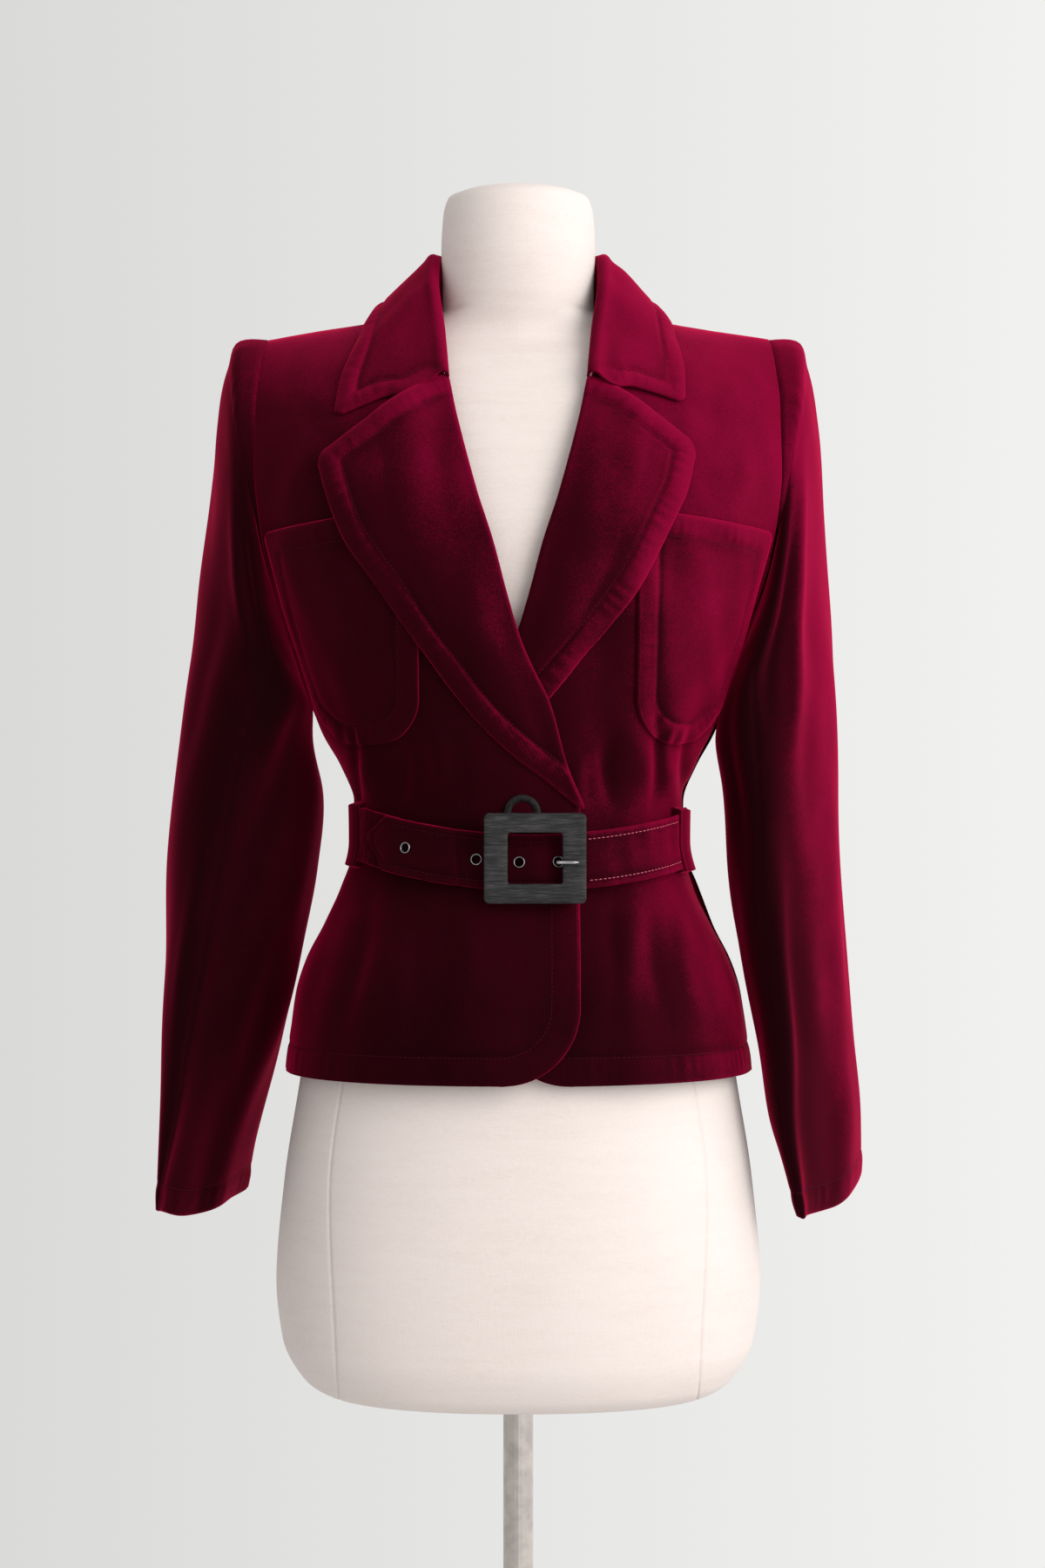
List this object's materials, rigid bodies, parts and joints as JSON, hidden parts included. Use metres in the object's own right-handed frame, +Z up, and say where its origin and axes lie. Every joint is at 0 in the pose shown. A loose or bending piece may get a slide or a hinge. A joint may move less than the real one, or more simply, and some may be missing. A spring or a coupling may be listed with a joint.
{
  "type": "velvet jacket on a limbless dress form",
  "caption": "Fitted wine velvet jacket with notched lapels, patch pockets and a buckled belt, worn by a limbless linen dress form on a steel pole and round base.",
  "frame": {"origin": "on the floor under the middle of the stand's base", "axes": "+Z up; the jacket's front faces -Y; the wearer's left is +X"},
  "size_m": [0.5014, 0.3288, 1.501],
  "materials": {
    "velvet": "cotton velvet with a short upright nap",
    "nickel": "worn nickel",
    "buckle": "black stain over a fine grain, matt",
    "button": "black rim",
    "linen": "plain cream linen stretched over padding",
    "steel": "polished tube",
    "base": "satin"
  },
  "bodies": {
    "root": {"front_right": "velvet", "front_left": "velvet", "back": "velvet", "sleeve_right_top": "velvet", "sleeve_right_under": "velvet", "sleeve_left_top": "velvet", "sleeve_left_under": "velvet", "collar": "velvet", "lapel_right": "velvet", "lapel_left": "velvet", "pocket_right": "velvet", "pocket_left": "velvet", "belt": "velvet", "belt_loop_right": "velvet", "belt_loop_left": "velvet", "eyelet_1": "nickel", "eyelet_2": "nickel", "eyelet_3": "nickel", "eyelet_4": "nickel", "buckle": "buckle", "buckle_prong": "nickel", "button": "button", "form_torso": "linen", "stand_pole": "steel", "stand_base": "base"}
  },
  "joints": []
}
